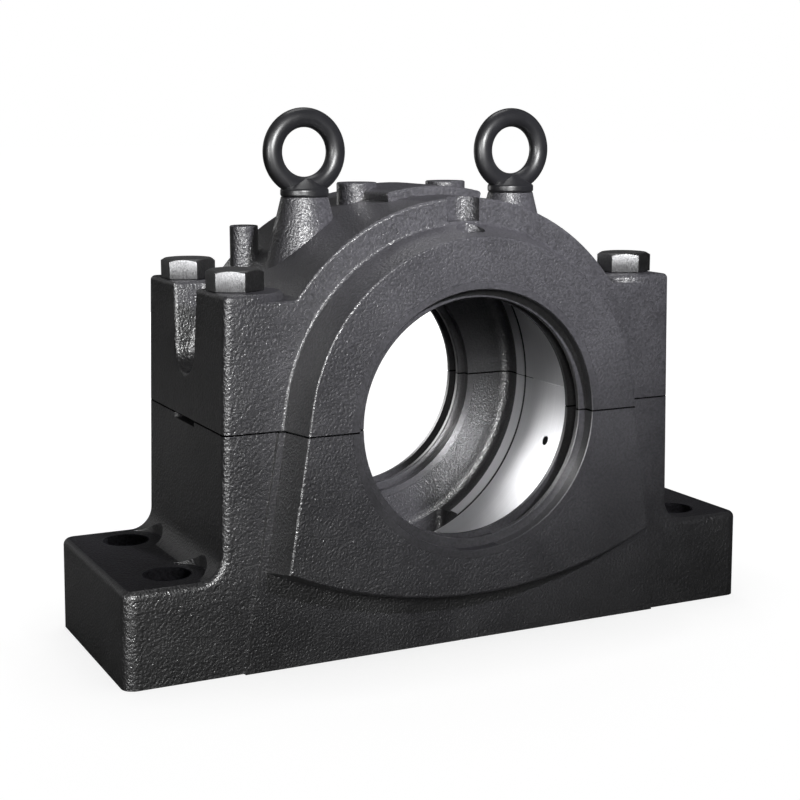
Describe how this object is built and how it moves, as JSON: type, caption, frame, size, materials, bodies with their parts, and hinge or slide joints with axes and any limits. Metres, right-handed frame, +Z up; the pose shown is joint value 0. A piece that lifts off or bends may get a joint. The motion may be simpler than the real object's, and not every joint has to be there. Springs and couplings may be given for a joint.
{
  "type": "split plummer block",
  "caption": "Split cast plummer block housing: base with feet, bolted cap, round end collars with seal bores, bearing chamber and lifting eyes.",
  "frame": {"origin": "middle of the underside of the feet, straight below the centre of the bore", "axes": "+X along the feet, +Y along the shaft, from the front end to the rear end, +Z up"},
  "size_m": [0.725, 0.314, 0.5494],
  "materials": {
    "casting": "black semi-gloss enamel over a fine cast texture; machined steel-bright bearing seat inside",
    "eye_paint": "smooth black gloss over forged steel",
    "bolt_steel": "plain grey steel with fine machining grain",
    "dowel_steel": "ground steel",
    "plug_steel": "black screw plug"
  },
  "bodies": {
    "base": {"base_housing": "casting", "dowel_left": "dowel_steel", "dowel_right": "dowel_steel", "sensor_plug": "plug_steel"},
    "cap": {"cap_housing": "casting", "eye_bolt_left": "eye_paint", "eye_bolt_right": "eye_paint", "boss_plug": "plug_steel"},
    "bolt_front_left": {"cap_bolt_front_left": "bolt_steel"},
    "bolt_front_right": {"cap_bolt_front_right": "bolt_steel"},
    "bolt_rear_left": {"cap_bolt_rear_left": "bolt_steel"},
    "bolt_rear_right": {"cap_bolt_rear_right": "bolt_steel"}
  },
  "joints": [
    {"name": "cap_lift", "type": "slide", "parent": "base", "child": "cap", "axis": [0, 0, 1], "range_m": [0, 0.3]},
    {"name": "bolt_out_front_left", "type": "slide", "parent": "cap", "child": "bolt_front_left", "axis": [0, 0, 1], "range_m": [0, 0.21]},
    {"name": "bolt_out_front_right", "type": "slide", "parent": "cap", "child": "bolt_front_right", "axis": [0, 0, 1], "range_m": [0, 0.21]},
    {"name": "bolt_out_rear_left", "type": "slide", "parent": "cap", "child": "bolt_rear_left", "axis": [0, 0, 1], "range_m": [0, 0.21]},
    {"name": "bolt_out_rear_right", "type": "slide", "parent": "cap", "child": "bolt_rear_right", "axis": [0, 0, 1], "range_m": [0, 0.21]}
  ]
}
